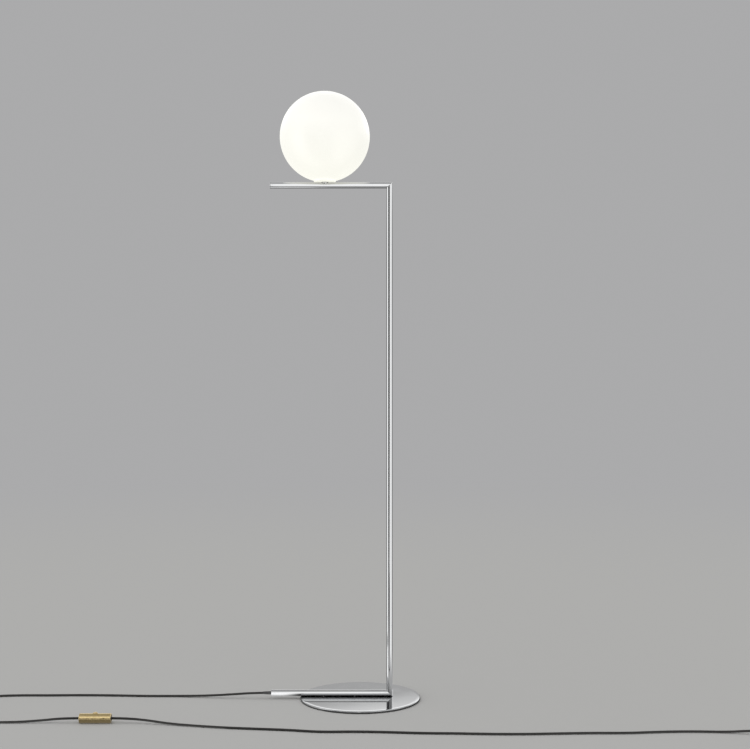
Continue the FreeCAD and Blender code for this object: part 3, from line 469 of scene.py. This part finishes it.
# ---- base disc ----
def base_disc():
    """A flat plate whose top rolls off slightly at the rim, as polishing leaves it, into a rounded edge."""
    low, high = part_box("base_disc")
    radius = high.x
    height = high.z - low.z
    edge = DISC_EDGE_ROUND
    drop = DISC_ROLL_OFF
    profile = [(0.0005, 0.0), (radius - 0.6 * MM, 0.0), (radius - 0.3 * MM, 0.0), (radius, 0.3 * MM)]
    profile += [(radius, 0.6 * MM), (radius, height - edge * 1.4), (radius, height - drop - edge)]
    profile += arc_profile((radius - edge, height - drop - edge), edge, 6, 86, 14)
    for share in (0.1, 0.4, 0.7):
        profile.append((radius - edge * (1 + 2.5 * share), height - drop * (1 - share) ** 2))
    profile += [(radius - edge * share, height) for share in (3.6, 4.2, 5.5)]
    profile += [(radius * share, height) for share in (0.85, 0.6, 0.3)] + [(0.0005, height)]
    builder = bmesh.new()
    rings = skin_rings(builder, turned_rings(profile, Vector((0, 0, low.z)), Z_AXIS, 256))
    builder.faces.new(rings[0])
    builder.faces.new(rings[-1])
    return new_piece("disc_plate", builder, FRAME_BODY, "chrome", "base_disc", material=DISC_CHROME)


base_disc()


# ---- globe ----
def opal_globe():
    """An outer and an inner sphere joined at the opening by a fire-polished lip."""
    low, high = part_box("globe")
    centre = Vector(((low.x + high.x) / 2, 0, high.z - GLOBE_RADIUS))
    inner = GLOBE_RADIUS - GLASS_WALL
    middle = GLOBE_RADIUS - GLASS_WALL / 2
    lip = math.degrees(math.asin((GLOBE_OPENING_RADIUS + GLASS_WALL / 2) / middle)) - 90
    steps = 72
    outer_wall = arc_profile((0, 0), GLOBE_RADIUS, 89.6, lip, steps)
    lip_centre = (middle * math.cos(math.radians(lip)), middle * math.sin(math.radians(lip)))
    lip_arc = arc_profile(lip_centre, GLASS_WALL / 2, lip, lip - 180, 8)[1:-1]
    inner_wall = arc_profile((0, 0), inner, lip, 89.6, steps)
    builder = bmesh.new()
    rings = skin_rings(builder, turned_rings(outer_wall + lip_arc + inner_wall, centre, Z_AXIS, 128))
    builder.faces.new(rings[0])
    builder.faces.new(rings[-1])
    return new_piece("opal_globe", builder, GLOBE_BODY, "opal_glass", "globe")


opal_globe()


# ---- cords: their routes are in millimetres ----
dimmer_y = -203.0
plug_y = -287.0
floor_z = 2.55
LAMP_LEAD_ROUTE = [
    (-188.0, 0.0, 13.05), (-236.0, 0.0, 13.05), (-290.0, 2.0, 8.8), (-349.0, 9.0, 4.2),
    (-414.0, 14.5, floor_z), (-480.0, 14.0, floor_z), (-551.0, 20.0, floor_z), (-623.0, 22.5, floor_z),
    (-696.0, 20.0, floor_z), (-765.0, 21.0, floor_z), (-827.0, 12.0, floor_z), (-874.0, -20.0, floor_z),
    (-900.0, -68.0, floor_z), (-903.0, -120.0, floor_z), (-878.0, -166.0, floor_z),
    (-832.0, -194.0, floor_z), (-772.0, -206.0, floor_z), (-708.0, -206.0, floor_z),
    (-654.0, -202.0, 5.4), (-613.0, dimmer_y, 10.05), (-569.0, dimmer_y, 10.05),
]
PLUG_LEAD_ROUTE = [
    (-523.0, dimmer_y, 10.05), (-484.0, dimmer_y, 10.05), (-440.0, -209.0, 7.6), (-390.0, -219.5, 3.0),
    (-335.0, -233.5, floor_z), (-272.0, -247.5, floor_z), (-205.0, -256.5, floor_z),
    (-141.0, -264.5, floor_z), (-80.0, -279.5, floor_z), (-12.0, -276.0, floor_z), (57.0, -280.0, floor_z),
    (125.0, -288.0, floor_z), (195.0, -289.5, floor_z), (265.0, -294.5, floor_z), (335.0, -295.0, floor_z),
    (402.0, -290.5, floor_z), (470.0, -286.5, floor_z), (540.0, -287.5, floor_z), (608.0, -278.0, floor_z),
    (676.0, -275.0, floor_z), (741.0, -280.0, floor_z), (782.0, plug_y, 6.85), (812.0, plug_y, 6.85),
]


def cord_curve(name, node, route):
    """A round cord on one smooth spline with the route's points as its control points."""
    curve = bpy.data.curves.new(name, "CURVE")
    curve.dimensions = "3D"
    curve.bevel_depth = CORD_DIAMETER / 2
    curve.bevel_resolution = 6
    curve.use_fill_caps = True
    spline = curve.splines.new("NURBS")
    spline.points.add(len(route) - 1)
    for point, place in zip(spline.points, route):
        point.co = (*(Vector(place) * MM), 1.0)
    spline.order_u = 3
    spline.use_endpoint_u = True
    spline.resolution_u = 10
    spline.use_smooth = True
    curve.materials.append(MATERIALS["cord_black"])
    piece = bpy.data.objects.new(name, curve)
    bpy.context.scene.collection.objects.link(piece)
    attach(piece, FRAME_BODY)
    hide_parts(node)
    return piece


lamp_cord = cord_curve("lamp_cord", "lamp_lead", LAMP_LEAD_ROUTE)
plug_cord = cord_curve("plug_cord", "plug_lead", PLUG_LEAD_ROUTE)
bush_low, bush_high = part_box("foot_cord_bush")
cap_low, cap_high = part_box("dimmer_plug_cap")
housing_low, housing_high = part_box("dimmer_housing")
dimmer_x = (housing_low.x + housing_high.x) / 2


# ---- stage: plain floor, soft studio surroundings ----
BACKDROP = (0.405, 0.405, 0.410)
FLOOR_COLOR = (0.33, 0.33, 0.327)
FLOOR_HALF_SIDE = 60.0
FLOOR_FADE = (1.2, 6.0)
LIGHT_COLOR = (1.0, 0.995, 0.985)
LIGHT_DIRECTION = (-0.50, -0.55, 0.67)
LIGHT_LEVELS = (0.78, 1.75)

# How bright metal sees each part of the surroundings. Slopes are side over forward, as seen from the pole.
WALL_LEVEL = 0.31
LOW_WALL_LEVELS = (0.60, 1.2)
RIM_WALL_LEVEL = 1.8
HIGH_WALL_LEVEL = 0.85
PANEL_LEVEL = 1.55
TOP_LEVEL = 0.6
LEFT_PANEL_LEVEL = 2.0
FLAG_LEVEL = 0.03
FLAG_SLOPES = (-1.35, 0.34)
WINDOW_SLOPES = (-0.085, 0.02)
SIDE_GAP_LEVEL = 0.42
NEAR_FLAG_LEVEL = 0.7
NEAR_FLOOR_LEVEL = 0.06
NEAR_FLOOR_REACH = (0.13, 0.18)
RIGHT_FLOOR_LEVEL = 0.6
DIMMER_FLOOR_LEVEL = 0.26
MIDDLE_FLOOR_LEVEL = 0.55
FRONT_STEP = (-0.2, 0.25)
LEFT_STEP = (-0.85, -0.70)
GAP_HEIGHTS = (0.230, 0.36)


class Graph:
    """Short calls that build a chain of value nodes."""

    def __init__(self, tree):
        self.tree = tree
        self.tree.nodes.clear()

    def node(self, kind, **settings):
        made = self.tree.nodes.new(kind)
        for key, value in settings.items():
            setattr(made, key, value)
        return made

    def feed(self, socket, value):
        if isinstance(value, (int, float)):
            socket.default_value = value
        else:
            self.tree.links.new(value, socket)

    def math(self, operation, *values):
        made = self.node("ShaderNodeMath", operation=operation)
        for socket, value in zip(made.inputs, values):
            self.feed(socket, value)
        return made.outputs["Value"]

    def times(self, *values):
        product = values[0]
        for value in values[1:]:
            product = self.math("MULTIPLY", product, value)
        return product

    def step(self, value, low, high, start=0.0, end=1.0):
        """A soft step from start to end as the value goes from low to high."""
        made = self.node("ShaderNodeMapRange", interpolation_type="SMOOTHSTEP")
        for socket, number in zip(("From Min", "From Max", "To Min", "To Max"), (low, high, start, end)):
            made.inputs[socket].default_value = number
        self.feed(made.inputs["Value"], value)
        return made.outputs["Result"]

    def band(self, value, low, high, soft):
        """One between low and high, zero outside, with soft ends."""
        rise = self.step(value, low - soft, low + soft)
        return self.times(rise, self.step(value, high - soft, high + soft, 1.0, 0.0))

    def blend(self, share, first, second):
        """first where share is 0, second where it is 1."""
        made = self.node("ShaderNodeMix", data_type="FLOAT")
        self.feed(made.inputs[0], share)
        self.feed(made.inputs[2], first)
        self.feed(made.inputs[3], second)
        return made.outputs[0]

    def xyz(self, output):
        parts = self.node("ShaderNodeSeparateXYZ")
        self.tree.links.new(output, parts.inputs["Vector"])
        return [parts.outputs[letter] for letter in "XYZ"]

    def mix(self, share, first, second):
        made = self.node("ShaderNodeMixShader")
        self.feed(made.inputs["Fac"], share)
        self.tree.links.new(first, made.inputs[1])
        self.tree.links.new(second, made.inputs[2])
        return made.outputs["Shader"]

    def glow(self, kind, color, strength):
        made = self.node(kind)
        made.inputs["Color"].default_value = (*color, 1.0)
        self.feed(made.inputs["Strength"], strength)
        return made.outputs[0]


def window(graph, side, forward, near):
    """The narrow bright gap straight ahead, between the two dark flags, wider close by."""
    left = graph.math("MULTIPLY_ADD", forward, -WINDOW_SLOPES[0], side)
    right = graph.math("MULTIPLY_ADD", forward, -WINDOW_SLOPES[1], side)
    inside = graph.step(left, -near - 0.01, -near + 0.01)
    return graph.times(inside, graph.step(right, -0.01, 0.01, 1.0, 0.0))


def flags(graph, side, forward):
    """The dark flags in front of the lamp, which reach further to the left than to the right."""
    slope = graph.math("DIVIDE", side, graph.math("MAXIMUM", forward, 0.001))
    return graph.times(graph.band(slope, *FLAG_SLOPES, 0.03), graph.step(forward, 0.0, 0.05))


def add_floor():
    """A wide plain floor that fades into the backdrop far off.

    Metal sees it at its own levels: a bright sweep in front, two dark flags with a narrow gap between them,
    and shades close to the lamp, to the right of the pole and round the dimmer.
    """
    material = bpy.data.materials.new("studio_floor")
    material.use_nodes = True
    graph = Graph(material.node_tree)
    place = graph.node("ShaderNodeTexCoord")
    length = graph.node("ShaderNodeVectorMath", operation="LENGTH")
    graph.tree.links.new(place.outputs["Object"], length.inputs[0])
    distance = length.outputs["Value"]
    x, y = graph.xyz(place.outputs["Object"])[:2]
    forward = graph.math("MULTIPLY", y, -1.0)
    side = graph.math("SUBTRACT", x, pole_x)

    near = graph.node("ShaderNodeBsdfDiffuse")
    near.inputs["Color"].default_value = (*FLOOR_COLOR, 1.0)
    far = graph.glow("ShaderNodeEmission", BACKDROP, 1.0)
    plain = graph.mix(graph.step(distance, *FLOOR_FADE), near.outputs["BSDF"], far)

    heading = graph.math("DIVIDE", forward, graph.math("MAXIMUM", distance, 0.001))
    front = graph.step(heading, *FRONT_STEP)
    leftward = graph.math("DIVIDE", side, graph.math("MAXIMUM", distance, 0.001))
    panel = graph.step(leftward, *LEFT_STEP, LEFT_PANEL_LEVEL, PANEL_LEVEL)
    level = graph.blend(front, WALL_LEVEL, panel)
    gap = window(graph, side, forward, 0.30)
    inside = graph.blend(graph.step(forward, 1.4, 2.2), MIDDLE_FLOOR_LEVEL, PANEL_LEVEL)
    dark = graph.step(distance, 0.10, 0.90, NEAR_FLAG_LEVEL, FLAG_LEVEL)
    shade = graph.blend(gap, dark, inside)
    level = graph.blend(flags(graph, side, forward), level, shade)
    right = graph.times(graph.step(side, 0.0, 0.06), graph.step(distance, 0.22, 0.60, 1.0, 0.0))
    level = graph.blend(right, level, RIGHT_FLOOR_LEVEL)
    level = graph.blend(graph.step(distance, *NEAR_FLOOR_REACH), NEAR_FLOOR_LEVEL, level)
    along = graph.math("ABSOLUTE", graph.math("SUBTRACT", x, dimmer_x))
    across = graph.math("ABSOLUTE", graph.math("SUBTRACT", y, dimmer_y * MM))
    shaded = graph.times(graph.step(along, 0.06, 0.10, 1.0, 0.0), graph.step(across, 0.06, 0.14, 1.0, 0.0))
    level = graph.blend(shaded, level, DIMMER_FLOOR_LEVEL)
    mirrored = graph.glow("ShaderNodeEmission", (1.0, 1.0, 1.0), level)
    path = graph.node("ShaderNodeLightPath")
    output = graph.node("ShaderNodeOutputMaterial")
    shader = graph.mix(path.outputs["Is Glossy Ray"], plain, mirrored)
    graph.tree.links.new(shader, output.inputs["Surface"])

    builder = bmesh.new()
    half = FLOOR_HALF_SIDE
    corners = [(-half, -half, 0), (half, -half, 0), (half, half, 0), (-half, half, 0)]
    builder.faces.new([builder.verts.new(shaded_corner_share) for shaded_corner_share in corners])
    mesh = bpy.data.meshes.new("studio_floor")
    builder.to_mesh(mesh)
    builder.free()
    mesh.materials.append(material)
    floor = bpy.data.objects.new("studio_floor", mesh)
    bpy.context.scene.collection.objects.link(floor)


def add_world():
    """Soft light from above and the front left, and bright and dark surfaces for metal to mirror."""
    world = bpy.data.worlds.new("studio")
    bpy.context.scene.world = world
    world.use_nodes = True
    graph = Graph(world.node_tree)
    direction = graph.node("ShaderNodeTexCoord").outputs["Generated"]
    x, y, z = graph.xyz(direction)
    forward = graph.math("MULTIPLY", y, -1.0)

    front = graph.step(forward, *FRONT_STEP)
    panels = graph.step(x, *LEFT_STEP, LEFT_PANEL_LEVEL, PANEL_LEVEL)
    panels = graph.blend(graph.step(z, 0.6, 0.85), panels, TOP_LEVEL)
    sheen = graph.math("MULTIPLY_ADD", x, 0.12, z)
    low_wall = graph.step(sheen, 0.238, 0.253, *LOW_WALL_LEVELS)
    low_wall = graph.blend(graph.step(sheen, 0.265, 0.29), low_wall, RIM_WALL_LEVEL)
    high_wall = graph.step(z, 0.82, 0.92, HIGH_WALL_LEVEL, WALL_LEVEL)
    wall = graph.blend(graph.step(z, 0.36, 0.46), low_wall, high_wall)
    wall = graph.blend(graph.step(z, 0.08, 0.20), WALL_LEVEL, wall)
    level = graph.blend(front, wall, panels)
    closed = graph.math("SUBTRACT", 1.0, window(graph, x, forward, 0.0))
    right = graph.step(graph.math("MULTIPLY_ADD", forward, -FLAG_SLOPES[1], x), -0.03, 0.03)
    gap = graph.times(graph.band(z, *GAP_HEIGHTS, 0.004), graph.step(forward, -0.30, -0.20), closed)
    level = graph.blend(gap, level, graph.blend(right, FLAG_LEVEL, SIDE_GAP_LEVEL))
    dark = graph.times(flags(graph, x, forward), graph.step(z, 0.16, 0.19, 1.0, 0.0), closed)
    level = graph.blend(dark, level, FLAG_LEVEL)

    towards = graph.node("ShaderNodeVectorMath", operation="DOT_PRODUCT")
    towards.inputs[1].default_value = LIGHT_DIRECTION
    graph.tree.links.new(direction, towards.inputs[0])
    soft = graph.step(towards.outputs["Value"], 0.0, 0.95, *LIGHT_LEVELS)

    mirrored = graph.glow("ShaderNodeBackground", (1.0, 1.0, 1.0), level)
    light = graph.glow("ShaderNodeBackground", LIGHT_COLOR, soft)
    seen = graph.glow("ShaderNodeBackground", BACKDROP, 1.0)
    path = graph.node("ShaderNodeLightPath")
    shader = graph.mix(path.outputs["Is Glossy Ray"], light, mirrored)
    shader = graph.mix(path.outputs["Is Camera Ray"], shader, seen)
    output = graph.node("ShaderNodeOutputWorld")
    graph.tree.links.new(shader, output.inputs["Surface"])


add_floor()
add_world()
bpy.context.scene.view_settings.view_transform = "Standard"
